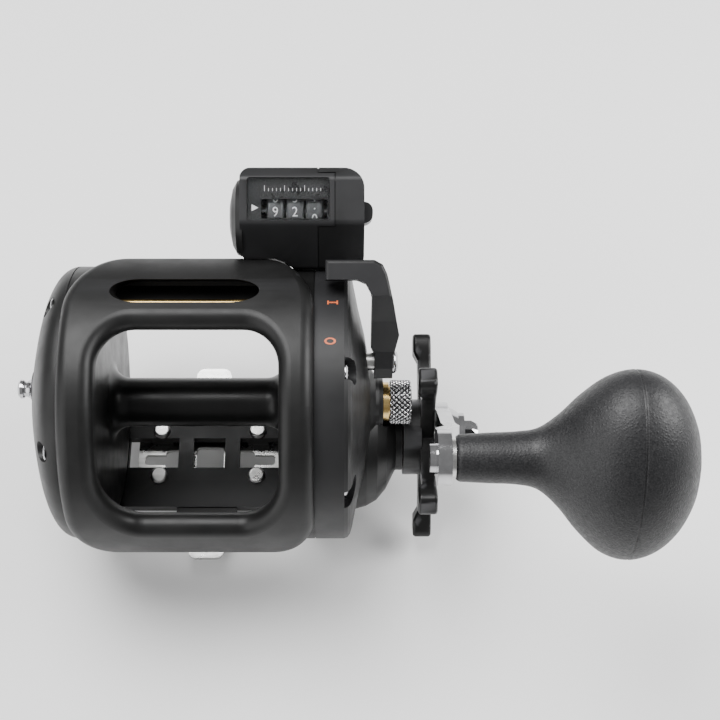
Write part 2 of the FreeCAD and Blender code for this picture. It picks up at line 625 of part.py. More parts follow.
def lever_node():
    """An arm over the dome and a tab over the rim: its side outline and its plan outline, crossed."""
    low, high = TAB_U
    side = [(48.9, 5.0), (48.9, 13.4), (48.0, 15.4), (48.0, low - 4), (46.4, low - 1), (44.0, low),
            (TAB_X, low), (TAB_X, high), (48.6, high), (50.8, high - 1.2), (51.9, high - 3.6),
            (52.5, high - 6), (55.4, 18.4), (54.2, 13.6), (LEVER_FACE, 13.0), (LEVER_FACE, 5.0)]
    wire = Part.makePolygon([V(x, u, 0) for x, u in side + side[:1]])
    slab = Part.Face(wire).extrude(V(0, 0, 40))
    plan = [(6.7, 7.0), (6.9, 11.4), (9.4, 14.0), (14.0, 15.6), (22.0, 22.0), (28.6, TAB_C[1]),
            (high, TAB_C[1]), (high, TAB_C[0]), (low, TAB_C[0] - 1), (20.0, 7.4), (13.4, 2.6), (9.6, 3.6)]
    wire = Part.makePolygon([V(30, u, c) for u, c in plan + plan[:1]])
    lever = slab.common(Part.Face(wire).extrude(V(30, 0, 0)))
    over_rim = block(TAB_X - 1, 47.8, 0, 50, 0, TAB_C[0])
    lever = lever.cut(over_rim)
    lever = fillet(lever, 1.0, lambda e: lever_rounded(e.BoundBox))
    lever = lever.cut(rod(3.5, LEVER_FACE, 60, LEVER_U, LEVER_C))
    return put(lever.cut(rod(2.4, 40, 60, LEVER_U, LEVER_C)))


def lever_fittings():
    shaft = fuse(rod(2.4, 39.0, LEVER_FACE, LEVER_U, LEVER_C), rod(1.5, 36.0, 39.0, LEVER_U + 0.8, LEVER_C))
    head = rod(3.3, LEVER_FACE, LEVER_FACE + 1.6, LEVER_U, LEVER_C)
    head = fillet(head, 0.9, lambda e: e.BoundBox.XMin > LEVER_FACE + 1)
    head = head.cut(block(54.8, 56, LEVER_U - 4, LEVER_U + 4, LEVER_C - 0.35, LEVER_C + 0.35))
    return {"lever_shaft": put(shaft), "lever_screw": put(head)}


def clicker():
    base = rod(5.2, -46.4, -45.4, CLICKER_U, CLICKER_C)
    stem = rod(1.9, -46.4, -40.8, CLICKER_U, CLICKER_C)
    profile = [(-46.4, 0), (-46.4, 4.7), (-46.9, 3.5), (-47.6, 2.6), (-48.6, 2.1), (-49.0, 2.2), (-49.4, 2.6),
               (-50.2, 2.7), (-50.8, 2.1), (-51.0, 0)]
    return {"clicker_plate": put(fuse(base, stem)), "clicker_button": put(turned(profile, CLICKER_U, CLICKER_C))}


# Star drag, handle and knob ----------------------------------------------

def star_arm(angle):
    """One arm of the star, its middle at an angle from C towards U about the drive axis."""
    x0, x1 = STAR_ARM_X
    side = [(0.0, 5.6), (8.0, 4.6), (12.0, 3.2), (17.0, 2.4), (22.0, 2.3), (25.0, 3.0), (28.0, 3.5), (30.0, 3.1),
            (STAR_TIP_R, 1.6)]
    curve = Part.BSplineCurve()
    curve.interpolate([V(x0, w, r) for r, w in side])
    other = Part.BSplineCurve()
    other.interpolate([V(x0, -w, r) for r, w in side])
    (r0, w0), (r1, w1) = side[0], side[-1]
    ends = [Part.makeLine(V(x0, -w0, r0), V(x0, w0, r0)), Part.makeLine(V(x0, w1, r1), V(x0, -w1, r1))]
    wire = Part.Wire(Part.__sortEdges__([curve.toShape(), other.toShape(), *ends]))
    arm = Part.Face(wire).extrude(V(x1 - x0, 0, 0))
    neck = Part.makePolygon([V(x0 - 1, -9, 7), V(x0 - 1, -9, 25.4), V(x0, -9, 25.4), V(x0 + 1.3, -9, 22.6),
                             V(x0 + 1.3, -9, 7), V(x0 - 1, -9, 7)])
    arm = arm.cut(Part.Face(neck).extrude(V(0, 18, 0)))
    arm = fillet(arm, 0.9, lambda e: e.BoundBox.ZMin > 22.0 or e.BoundBox.ZMax > STAR_TIP_R - 0.1)
    arm = turn_x(arm, -angle)
    arm.translate(V(0, DRIVE_U, DRIVE_C))
    return arm


def star_node():
    x0, x1 = STAR_HUB_X
    star = fuse(rod(STAR_HUB_R, x0, x1, DRIVE_U, DRIVE_C), rod(8.6, x1 - 1, STAR_ARM_X[1], DRIVE_U, DRIVE_C))
    for index in range(STAR_ARMS):
        star = star.fuse(star_arm(36.0 + index * 360.0 / STAR_ARMS))
    return put(star.removeSplitter().cut(rod(3.0 + RUN, 50, 70, DRIVE_U, DRIVE_C)))


def handle_arm_node():
    x0, x1 = ARM_X
    e0, e1 = ARM_END_X
    hub = fuse(rod(10.0, x0, x1, DRIVE_U, DRIVE_C), cone(9.0, 7.2, x1, 73.6, DRIVE_U, DRIVE_C),
               rod(7.0, 73.6, 75.3, DRIVE_U, DRIVE_C))
    side = [(x0, -6), (x1, -6), (x1, 44.5), (e1, 53.0), (e1, KNOB_C - DRIVE_C), (e0, KNOB_C - DRIVE_C),
            (e0, 51.5), (x0, 43.0)]
    wire = Part.makePolygon([V(x, DRIVE_U - 15, DRIVE_C + c) for x, c in side + side[:1]])
    web = Part.Face(wire).extrude(V(0, 30, 0))
    end = KNOB_C - DRIVE_C
    width = [(-9.0, 0), (-8.6, 14), (-7.2, 30), (-7.2, end), (4.9, end), (5.4, 30), (8.0, 14), (9.0, 0)]
    plan = Part.makePolygon([V(50, DRIVE_U + u, DRIVE_C + c) for u, c in width + width[:1]])
    web = web.common(Part.Face(plan).extrude(V(30, 0, 0)))
    arm = fuse(hub, web, rod(6.95, e0, e1, KNOB_U, KNOB_C))
    hole = [(-4.4, 14), (4.0, 14), (2.2, 32), (-3.6, 32)]
    cut = Part.makePolygon([V(60, DRIVE_U + u, DRIVE_C + c) for u, c in hole + hole[:1]])
    cut = fillet(Part.Face(cut).extrude(V(20, 0, 0)), 1.8, lambda e: e.BoundBox.XLength > 10)
    arm = arm.cut(cut).cut(rod(3.0, 60, 80, DRIVE_U, DRIVE_C))
    return put(arm.cut(rod(2.5, 60, 80, KNOB_U, KNOB_C)))


def handle_fittings():
    flats = [V(75.3, DRIVE_U + 4.7 * math.cos(math.radians(a)), DRIVE_C + 4.7 * math.sin(math.radians(a)))
             for a in range(0, 361, 60)]
    nut = Part.Face(Part.makePolygon(flats)).extrude(V(4.0, 0, 0))
    rivet = fuse(rod(3.6, 61.9, ARM_END_X[0], KNOB_U, KNOB_C), rod(2.5, ARM_END_X[0], 118.0, KNOB_U, KNOB_C))
    return {
        "handle_nut": put(nut.common(cone(5.6, 3.9, 75.3, 79.4, DRIVE_U, DRIVE_C))),
        "knob_spindle": put(rivet),
        "knob_washer": put(ring(5.0, 2.5, ARM_END_X[1], 68.3, KNOB_U, KNOB_C)),
    }


def ellipse(x, half_long, half_thick, drop):
    shape = Part.Ellipse(V(0, 0, 0), half_long + 0.001, half_thick).toShape()
    shape.rotate(V(0, 0, 0), V(0, 0, 1), 90)
    shape.rotate(V(0, 0, 0), V(0, 1, 0), 90)
    shape = turn_x(shape, KNOB_TURN)
    shape.translate(V(x, -drop, 0))
    return Part.Wire([shape])


def knob_node():
    knob = Part.makeLoft([ellipse(*section) for section in KNOB_SECTIONS], True, False)
    knob.translate(V(0, KNOB_U, KNOB_C))
    return put(knob.cut(rod(2.5 + RUN, 60, 118.3, KNOB_U, KNOB_C)))


# Counter -----------------------------------------------------------------

def housing_outside(inset=0):
    x0, x1 = HOUSING_X[0] + inset, HOUSING_X[1] - inset
    u0, u1 = HOUSING_U[0] + inset, HOUSING_U[1] - inset
    c0, c1 = HOUSING_C[0] + inset, HOUSING_C[1] - inset
    side = [(u0, c0 + 3), (u0 + 2, c0), (u1 - 3, c0), (u1, c0 + 3), (u1, c1 - 3), (u1 - 3, c1),
            (HOUSING_CHIN_U, c1), (u0, HOUSING_CHIN_C)]
    wire = Part.makePolygon([V(x0, u, c) for u, c in side + side[:1]])
    body = Part.Face(wire).extrude(V(x1 - x0, 0, 0))
    body = fillet(body, 2.0, lambda e: e.BoundBox.XLength > 20)
    return body.common(rounded_prism(x0, x1, u0, u1, (5, 3, 6, 3), c0 - 1, c1 + 1))


def housing_inside():
    side = [(42.5, 4), (60.5, 4), (60.5, 22.8), (49.0, 22.8), (42.5, 16.0)]
    wire = Part.makePolygon([V(HOUSING_X[0] + 2.4, u, c) for u, c in side + side[:1]])
    return Part.Face(wire).extrude(V(HOUSING_X[1] - HOUSING_X[0] - 5.4, 0, 0))


def beyond_seam(gap):
    """The space to the right of the counter's seam, which steps round the face plate."""
    step = block(HOUSING_SEAM - 2, PANEL_X[1] + 1.2 + gap, PANEL_U[0] - 1.4 - gap, PANEL_U[1] + 1.2 + gap,
                 22.8 - gap, 40)
    return block(HOUSING_SEAM + gap, 60, 0, 80, -5, 40).cut(step)


def counter_nodes():
    shell = housing_outside().cut(housing_inside())
    window = rounded_prism(*PANEL_X, *PANEL_U, (0.8,) * 4, 20, 30)
    frame_space = rod(BODY_R + FIT, -HALF_WIDTH, HALF_WIDTH + FIT).common(
        rounded_prism(-HALF_WIDTH, HALF_WIDTH + FIT, BODY_REAR, BODY_FRONT + FIT, (12, 12, 15, 15), -9, 45))
    shell = shell.cut(window).cut(frame_space).cut(rod(RING_R + FIT, 10, 60))
    neck = block(29.2, 41.6, 30, 41.5, 2.0, 11.4).cut(rod(RING_R, 20, 60)).cut(frame_space)
    neck = neck.cut(rod(4.6, 20, HALF_WIDTH - 2, WORM_U, WORM_C))
    reset = rounded_prism(43.4, 48.4, 48.6, 54.4, (0.3, 2.4, 2.4, 0.3), 9, 17)
    shell = shell.cut(block(40, 50, 48.4, 54.6, 8.8, 17.2))
    dome = [(9.7, 0), (9.9, 4.4), (10.6, 7.8), (11.8, 10.0), (13.5, 10.8), (13.5, 5.3), (15.3, 5.3), (15.3, 0)]
    cap = turned(dome, CAP_U, CAP_C).cut(frame_space)
    right_side = beyond_seam(0)
    left = shell.cut(right_side).cut(cap).cut(rod(5.3, 10, 15.4, CAP_U, CAP_C))
    line = right_side.cut(beyond_seam(SEAM)).cut(housing_outside(SEAM))
    right = shell.common(right_side).cut(line).fuse(neck.cut(housing_inside()).cut(left))
    panel = rounded_prism(*PANEL_X, *PANEL_U, (0.8,) * 4, 22.8, 24.0)
    digits = rounded_prism(*DIGITS_X, DIGITS_U[0] + 0.4, DIGITS_U[1], (0.5,) * 4, 20, 30)
    glass = rounded_prism(*PANEL_X, *PANEL_U, (0.8,) * 4, 24.0, 24.6)
    return {"counter_housing_left": put(left), "counter_housing_right": put(right), "counter_end_cap": put(cap),
            "counter_panel": put(panel.cut(digits)), "counter_window": put(glass), "reset_button": put(reset)}


def wheel_nodes():
    nodes = {}
    for index, name in enumerate(("hundreds_wheel", "tens_wheel", "units_wheel")):
        x0 = WHEEL_START + index * WHEEL_PITCH
        nodes[name] = put(ring(WHEEL_R, AXLE_R + RUN, x0, x0 + WHEEL_PITCH - 0.4, WHEEL_U, WHEEL_C))
    nodes["counter_axle"] = put(rod(AXLE_R, 15.4, 38.5, WHEEL_U, WHEEL_C))
    return nodes


def build():
    os.makedirs("parts", exist_ok=True)
    nodes = {"frame": frame_node(), "foot_plate": foot_node(), "foot_rivets": rivets_node(),
             "spool": spool_node(), "spool_shaft": spool_shaft_node(), "spool_cross_pin": cross_pin_node(),
             "worm_shaft": worm_shaft_node(), "worm_bushings": worm_bushings_node(),
             "line_guide": line_guide_node(),
             "left_cover": left_cover_node(), "left_cover_screws": left_screws_node(),
             "right_side_plate": right_plate_node(), "right_plate_screws": right_screws_node(),
             "bridge_plate": bridge_plate_node(), "main_gear": main_gear_node(), "pinion_gear": pinion_node(),
             "clutch_yoke": yoke_node(), "drive_shaft": drive_shaft_node(), "clutch_lever": lever_node(),
             "star_drag": star_node(), "handle_arm": handle_arm_node(), "handle_knob": knob_node()}
    nodes.update({name: put(shape) for name, shape in level_wind_train().items()})
    for group in (rods(), bearings(), drag_stack(), cast_control(), lever_fittings(), clicker(), handle_fittings(),
                  counter_nodes(), wheel_nodes()):
        nodes.update(group)
    for name, shape in nodes.items():
        save(name, shape)
    print(len(nodes), "nodes")


build()
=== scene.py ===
"""Looks of the trolling reel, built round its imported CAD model. Lengths are in metres."""
import bpy
import bmesh
import json
import math
from mathutils import Matrix, Vector


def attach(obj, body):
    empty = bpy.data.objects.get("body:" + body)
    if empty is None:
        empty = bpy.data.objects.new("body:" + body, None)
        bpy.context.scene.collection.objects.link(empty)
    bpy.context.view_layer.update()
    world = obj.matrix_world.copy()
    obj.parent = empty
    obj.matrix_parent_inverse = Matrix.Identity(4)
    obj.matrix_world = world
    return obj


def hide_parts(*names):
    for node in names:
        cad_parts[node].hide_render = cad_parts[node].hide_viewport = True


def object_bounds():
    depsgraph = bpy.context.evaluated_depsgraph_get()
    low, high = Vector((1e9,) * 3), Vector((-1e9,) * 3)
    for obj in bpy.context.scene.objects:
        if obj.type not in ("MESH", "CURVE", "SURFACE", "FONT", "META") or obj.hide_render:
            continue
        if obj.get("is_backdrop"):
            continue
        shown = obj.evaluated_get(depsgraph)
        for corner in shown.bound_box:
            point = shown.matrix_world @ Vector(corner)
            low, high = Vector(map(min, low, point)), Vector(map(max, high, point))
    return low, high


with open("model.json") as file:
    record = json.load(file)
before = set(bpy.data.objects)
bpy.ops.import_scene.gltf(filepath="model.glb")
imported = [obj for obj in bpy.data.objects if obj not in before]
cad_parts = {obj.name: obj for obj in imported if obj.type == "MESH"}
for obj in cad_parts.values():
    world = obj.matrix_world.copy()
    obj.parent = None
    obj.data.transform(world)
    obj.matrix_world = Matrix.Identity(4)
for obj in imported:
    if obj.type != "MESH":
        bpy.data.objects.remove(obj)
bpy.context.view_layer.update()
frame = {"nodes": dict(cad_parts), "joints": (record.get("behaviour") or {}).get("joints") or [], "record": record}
NODES = frame["nodes"]
JOINTS = {joint["name"]: joint for joint in frame["joints"]}

# Case axes: origin on the spool axis, U leans back from +Y towards +Z, C is square to X and U.
MM = 0.001
SPOOL_AXIS = Vector(JOINTS["spool_turn"]["pos_m"])
U = Vector(JOINTS["clicker_slide"]["axis"]).normalized()
X = Vector((1, 0, 0))
C = X.cross(U)
CASE = Matrix((X, U, C)).transposed().to_4x4()
CASE.translation = Vector((0, SPOOL_AXIS.y, SPOOL_AXIS.z))


def case(x, u, c):
    """A point given in case axes and millimetres, in the row's frame and metres."""
    return CASE @ (Vector((x, u, c)) * MM)


def case_place(joint):
    """U and C, in millimetres, of a joint whose axis lies along X."""
    offset = Vector(JOINTS[joint]["pos_m"]) - CASE.translation
    return offset.dot(U) / MM, offset.dot(C) / MM


# Materials ---------------------------------------------------------------

def new_material(name):
    """A material with only its shader, its output and object coordinates."""
    material = bpy.data.materials.new(name)
    material.use_nodes = True
    tree = material.node_tree
    tree.nodes.clear()
    output = tree.nodes.new("ShaderNodeOutputMaterial")
    shader = tree.nodes.new("ShaderNodeBsdfPrincipled")
    place = tree.nodes.new("ShaderNodeTexCoord")
    tree.links.new(shader.outputs["BSDF"], output.inputs["Surface"])
    return material, tree, shader, place.outputs["Object"]


def noise(tree, place, scale, detail=4.0, roughness=0.55):
    """Noise whose grain is about 1/scale of a metre."""
    node = tree.nodes.new("ShaderNodeTexNoise")
    node.inputs["Scale"].default_value = scale
    node.inputs["Detail"].default_value = detail
    node.inputs["Roughness"].default_value = roughness
    tree.links.new(place, node.inputs["Vector"])
    return node.outputs["Fac"]


def ramp(tree, value, stops):
    """A colour ramp through (position, colour) stops; a number stands for a grey."""
    node = tree.nodes.new("ShaderNodeValToRGB")
    tree.links.new(value, node.inputs["Fac"])
    elements = node.color_ramp.elements
    while len(elements) < len(stops):
        elements.new(0.5)
    for element, (position, colour) in zip(elements, stops):
        grey = isinstance(colour, (int, float))
        element.position = position
        element.color = (colour, colour, colour, 1) if grey else (*colour, 1)
    return node.outputs["Color"]


def bump(tree, shader, height, strength, distance, under=None):
    """Raise the surface by height; under is the bump that it lies on."""
    node = tree.nodes.new("ShaderNodeBump")
    node.inputs["Strength"].default_value = strength
    node.inputs["Distance"].default_value = distance
    tree.links.new(height, node.inputs["Height"])
    if under is not None:
        tree.links.new(under, node.inputs["Normal"])
    tree.links.new(node.outputs["Normal"], shader.inputs["Normal"])
    return node.outputs["Normal"]


def stretched(tree, place, scale):
    """Coordinates scaled by a different amount along each axis."""
    node = tree.nodes.new("ShaderNodeMapping")
    node.inputs["Scale"].default_value = scale
    tree.links.new(place, node.inputs["Vector"])
    return node.outputs["Vector"]


def turned_edges(tree, colour, edge_colour, stops):
    """Mix in edge_colour where the surface turns: under 0.5 is a groove, over it is a ridge. It carries rubbed
    wear on ridges and painted shade in grooves.
    """
    geometry = tree.nodes.new("ShaderNodeNewGeometry")
    mask = ramp(tree, geometry.outputs["Pointiness"], stops)
    mix = tree.nodes.new("ShaderNodeMix")
    mix.data_type = "RGBA"
    tree.links.new(mask, mix.inputs["Factor"])
    tree.links.new(colour, mix.inputs["A"])
    mix.inputs["B"].default_value = (*edge_colour, 1)
    return mix.outputs["Result"]


def worn(tree, colour, edge_colour, start=0.53, end=0.60, amount=0.5):
    """Mix in edge_colour on the ridges."""
    return turned_edges(tree, colour, edge_colour, ((start, 0.0), (end, amount)))


def moulded(name, dark, light, rough, grain=2600.0, depth=0.25, edge=(0.028, 0.028, 0.030)):
    """Moulded black plastic: a faint mottle, fine moulded grain and rubbed edges."""
    material, tree, shader, place = new_material(name)
    shader.inputs["Specular IOR Level"].default_value = 0.28
    colour = ramp(tree, noise(tree, place, 90.0), ((0.3, dark), (0.7, light)))
    tree.links.new(worn(tree, colour, edge), shader.inputs["Base Color"])
    gloss = ramp(tree, noise(tree, place, 160.0, 6.0), ((0.3, rough - 0.05), (0.72, rough + 0.06)))
    tree.links.new(gloss, shader.inputs["Roughness"])
    broad = bump(tree, shader, noise(tree, place, 220.0, 2.0), 0.05, 0.0004)
    bump(tree, shader, noise(tree, place, grain, 2.0), depth, 0.00003, broad)
    return material


def metal(name, dark, light, rough, streak=(60.0, 900.0, 900.0), depth=0.06):
    """Metal with streaks of machining or polishing that change its colour and gloss."""
    material, tree, shader, place = new_material(name)
    shader.inputs["Metallic"].default_value = 1.0
    lines = noise(tree, stretched(tree, place, streak), 1.0, 3.0)
    tree.links.new(ramp(tree, lines, ((0.3, dark), (0.7, light))), shader.inputs["Base Color"])
    smear = noise(tree, place, 140.0, 5.0)
    gloss = ramp(tree, smear, ((0.3, rough * 0.75), (0.75, rough * 1.35)))
    tree.links.new(gloss, shader.inputs["Roughness"])
    bump(tree, shader, lines, depth, 0.00002)
    return material


def knurled(name, groove, dark, light):
    """Polished metal with painted shade: the grooves between the diamonds of its knurl are darkened to the groove
    colour.
    """
    material, tree, shader, place = new_material(name)
    shader.inputs["Metallic"].default_value = 1.0
    colour = ramp(tree, noise(tree, place, 320.0), ((0.3, dark), (0.7, light)))
    # Painted shade: concave places, the knurl's grooves, take the dark groove colour.
    colour = turned_edges(tree, colour, groove, ((0.47, 0.97), (0.53, 0.0)))
    tree.links.new(colour, shader.inputs["Base Color"])
    gloss = ramp(tree, noise(tree, place, 500.0), ((0.3, 0.16), (0.7, 0.26)))
    tree.links.new(gloss, shader.inputs["Roughness"])
    return material


def pebbled(name, dark, light):
    """Soft black grip plastic, cast with small pebbles."""
    material, tree, shader, place = new_material(name)
    shader.inputs["Specular IOR Level"].default_value = 0.42
    cells = tree.nodes.new("ShaderNodeTexVoronoi")
    cells.inputs["Scale"].default_value = 1500.0
    cells.inputs["Randomness"].default_value = 1.0
    tree.links.new(place, cells.inputs["Vector"])
    pebbles = ramp(tree, cells.outputs["Distance"], ((0.0, 1.0), (0.55, 0.0)))
    colour = ramp(tree, noise(tree, place, 2400.0, 3.0), ((0.36, dark), (0.64, light)))
    rubbed = worn(tree, colour, (0.05, 0.05, 0.053), amount=0.2)
    tree.links.new(rubbed, shader.inputs["Base Color"])
    gloss = ramp(tree, noise(tree, place, 900.0, 3.0), ((0.3, 0.40), (0.7, 0.56)))
    tree.links.new(gloss, shader.inputs["Roughness"])
    broad = bump(tree, shader, noise(tree, place, 900.0, 2.0), 0.07, 0.00010)
    bump(tree, shader, pebbles, 0.50, 0.00009, broad)
    return material


def glossy(name, dark, light, rough):
    """Gloss black plastic with dust-fine speckle."""
    material, tree, shader, place = new_material(name)
    speckle = noise(tree, place, 5200.0, 2.0)
    tree.links.new(ramp(tree, speckle, ((0.42, dark), (0.66, light))), shader.inputs["Base Color"])
    gloss = ramp(tree, noise(tree, place, 200.0), ((0.3, rough * 0.8), (0.7, rough * 1.3)))
    tree.links.new(gloss, shader.inputs["Roughness"])
    bump(tree, shader, speckle, 0.04, 0.00002)
    return material


def paint(name, dark, light):
    """Printed ink: slightly uneven in colour and cover."""
    rough = 0.45
    material, tree, shader, place = new_material(name)
    colour = ramp(tree, noise(tree, place, 1500.0), ((0.3, dark), (0.7, light)))
    tree.links.new(colour, shader.inputs["Base Color"])
    gloss = ramp(tree, noise(tree, place, 700.0), ((0.3, rough - 0.06), (0.7, rough + 0.08)))
    tree.links.new(gloss, shader.inputs["Roughness"])
    bump(tree, shader, noise(tree, place, 3000.0), 0.08, 0.00002)
    return material


def clear(name):
    """Clear acrylic, a little smeared."""
    material, tree, shader, place = new_material(name)
    shader.inputs["Transmission Weight"].default_value = 1.0
    shader.inputs["IOR"].default_value = 1.2
    shader.inputs["Base Color"].default_value = (0.96, 0.98, 1.0, 1)
    smear = noise(tree, place, 260.0, 5.0)
    tree.links.new(ramp(tree, smear, ((0.35, 0.0), (0.8, 0.05))), shader.inputs["Roughness"])
    return material


def carbon(name):
    """Woven carbon drag washer."""
    material, tree, shader, place = new_material(name)
    checker = tree.nodes.new("ShaderNodeTexChecker")
    checker.inputs["Scale"].default_value = 1400.0
    tree.links.new(place, checker.inputs["Vector"])
    colour = ramp(tree, checker.outputs["Fac"], ((0.0, 0.015), (1.0, 0.05)))
    tree.links.new(colour, shader.inputs["Base Color"])
    gloss = ramp(tree, noise(tree, place, 900.0), ((0.3, 0.4), (0.7, 0.6)))
    tree.links.new(gloss, shader.inputs["Roughness"])
    bump(tree, shader, checker.outputs["Fac"], 0.2, 0.00004)
    return material


LOOKS = {
    "graphite_black": moulded("graphite_black", 0.005, 0.009, 0.42),
    "black_metal": moulded("black_metal", 0.006, 0.010, 0.32, 3600.0, 0.12, (0.10, 0.10, 0.105)),
    "spool_black": moulded("spool_black", 0.005, 0.009, 0.34, 4200.0, 0.10),
    "knob_black": pebbled("knob_black", (0.004, 0.004, 0.005), (0.017, 0.017, 0.018)),
    "button_black": moulded("button_black", 0.010, 0.015, 0.40),
    "panel_black": glossy("panel_black", 0.016, 0.085, 0.30),
    "wheel_black": moulded("wheel_black", 0.07, 0.11, 0.30, 3000.0, 0.1),
    "window_clear": clear("window_clear"),
    "chrome": metal("chrome", (0.42, 0.42, 0.43), (0.56, 0.56, 0.57), 0.10,
                    (200.0, 260.0, 200.0), 0.03),
    "steel": metal("steel", (0.50, 0.50, 0.49), (0.66, 0.66, 0.65), 0.28),
    "brass": metal("brass", (0.58, 0.39, 0.14), (0.78, 0.58, 0.26), 0.24),
    "white_plastic": moulded("white_plastic", (0.70, 0.69, 0.65), (0.80, 0.79, 0.75), 0.42,
                             2400.0, 0.1, (0.86, 0.85, 0.82)),
    "drag_felt": carbon("drag_felt"),
}
WHITE_INK = paint("white_ink", (0.72, 0.72, 0.70), (0.86, 0.86, 0.84))
# Knurl look: the first colour is painted shade for the knurl's grooves.
SHADED_KNURL = knurled("knurl", (0.05, 0.05, 0.052), (0.62, 0.62, 0.63), (0.78, 0.78, 0.79))
ORANGE_INK = paint("orange_ink", (0.46, 0.085, 0.018), (0.60, 0.13, 0.035))


def dress_nodes():
    """Give every CAD node the look of its material slot."""
    for part in frame["record"]["subparts"]:
        node = NODES[part["node"]]
        node.data.materials.clear()
        node.data.materials.append(LOOKS[part["material_slot"]])


# Mesh helpers ------------------------------------------------------------

def piece(name, mesh, body, slot, look=None, replaces=()):
    """Add a mesh as a visible piece that rides on a body."""
    made = bpy.data.objects.new(name, mesh)
    bpy.context.scene.collection.objects.link(made)
    made.data.materials.clear()
    made.data.materials.append(look or LOOKS[slot])
    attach(made, body)
    if replaces:
        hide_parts(*replaces)
    return made


def mesh_from(name, points, faces, smooth=True):
    """A mesh from case-axes points in millimetres."""
    mesh = bpy.data.meshes.new(name)
    mesh.from_pydata([case(*point) for point in points], [], faces)
    mesh.validate()
    work = bmesh.new()
    work.from_mesh(mesh)
    bmesh.ops.recalc_face_normals(work, faces=work.faces)
    work.to_mesh(mesh)
    work.free()
    for polygon in mesh.polygons:
        polygon.use_smooth = smooth
    return mesh


def sharpen(mesh, degrees=40.0):
    """Keep edges crisp that turn by more than the given angle."""
    mesh.set_sharp_from_angle(angle=math.radians(degrees))
    return mesh


def grid_solid(name, rings):
    """Close a stack of equal rings of points with a fan at each end."""
    count = len(rings[0])
    points = [point for ring in rings for point in ring]
    faces = []
    for row in range(len(rings) - 1):
        for index in range(count):
            after = (index + 1) % count
            low, high = row * count, (row + 1) * count
            faces.append((low + index, low + after, high + after, high + index))
    for ring, base in ((rings[0], 0), (rings[-1], (len(rings) - 1) * count)):
        centre = len(points)
        points.append(tuple(sum(values) / count for values in zip(*ring)))
        faces += [(base + index, base + (index + 1) % count, centre) for index in range(count)]
    return mesh_from(name, points, faces)


def lathe(name, outline, u, c, steps=64, relief=None):
    """Turn (x, r) points about an axis along X; relief(x, angle, r) may change each radius."""
    rings = []
    for x, r in outline:
        ring = []
        for step in range(steps):
            angle = 2 * math.pi * step / steps
            radius = relief(x, angle, r) if relief else r
            ring.append((x, u + radius * math.cos(angle), c + radius * math.sin(angle)))
        rings.append(ring)
    return grid_solid(name, rings)


def spline(stops, x):
    """Smooth value at x through (x, value) stops."""
    last = len(stops) - 1
    place = max(i for i in range(last) if stops[i][0] <= x or i == 0)
    before, after = max(place - 1, 0), min(place + 2, last)
    x1, y1 = stops[place]
    x2, y2 = stops[place + 1]
    slope1 = (y2 - stops[before][1]) / (x2 - stops[before][0])
    slope2 = (stops[after][1] - y1) / (stops[after][0] - x1)
    t, width = (x - x1) / (x2 - x1), x2 - x1
    return ((2 * t ** 3 - 3 * t ** 2 + 1) * y1 + (t ** 3 - 2 * t ** 2 + t) * width * slope1
            + (3 * t ** 2 - 2 * t ** 3) * y2 + (t ** 3 - t ** 2) * width * slope2)


def evaluated_mesh(source):
    """A new mesh of an object as its modifiers or its curve leave it."""
    depsgraph = bpy.context.evaluated_depsgraph_get()
    return bpy.data.meshes.new_from_object(source.evaluated_get(depsgraph))


def cut_away(target, cutters):
    """Cut solid pieces out of a mesh and give back the result."""
    for cutter in cutters:
        trim = target.modifiers.new("cut", "BOOLEAN")
        trim.object = cutter
        trim.operation = "DIFFERENCE"
        trim.solver = "EXACT"
    mesh = evaluated_mesh(target)
    for each in [target, *cutters]:
        bpy.data.objects.remove(each)
    return mesh


def loose(mesh):
    """A plain object round a mesh, used only while building."""
    made = bpy.data.objects.new("work", mesh)
    bpy.context.scene.collection.objects.link(made)
    return made


def box_mesh(x0, x1, u0, u1, c0, c1):
    """A box between two values on each case axis."""
    points = [(x, u, c) for x in (x0, x1) for u in (u0, u1) for c in (c0, c1)]
    faces = [(0, 1, 3, 2), (4, 6, 7, 5), (0, 4, 5, 1), (2, 3, 7, 6), (0, 2, 6, 4), (1, 5, 7, 3)]
    return mesh_from("box", points, faces, smooth=False)


# Knob --------------------------------------------------------------------

KNOB_TURN = math.radians(30)
# X, half length, half thickness and drop of the paddle, from the spindle end to the nose
KNOB_STOPS = ((68.5, 5.9, 5.9, 0.0), (76.0, 6.3, 6.3, 0.0), (84.0, 6.7, 6.7, 0.0),
              (89.0, 8.0, 7.4, 0.2), (94.0, 12.4, 9.8, 0.6), (99.0, 18.4, 13.4, 1.2),
              (105.0, 23.8, 16.6, 1.8), (111.5, 26.0, 17.8, 2.0), (118.0, 24.4, 16.6, 2.0),
              (123.5, 19.4, 13.2, 2.0), (127.2, 12.0, 8.4, 2.0), (128.8, 4.6, 3.4, 2.0))
KNOB_STEPS = 130         # rings along the knob, closer together towards the nose
KNOB_AROUND = 112        # points in a ring
KNOB_CHAMFER = 0.45      # radius lost at the spindle end
KNOB_CHAMFER_LONG = 0.5  # length over which it is lost
KNOB_SEAM = 112.0
SEAM_HALF = 0.35
SEAM_FLOOR = 0.8         # share of the seam's width that is at full depth
SEAM_DEPTH = 0.22


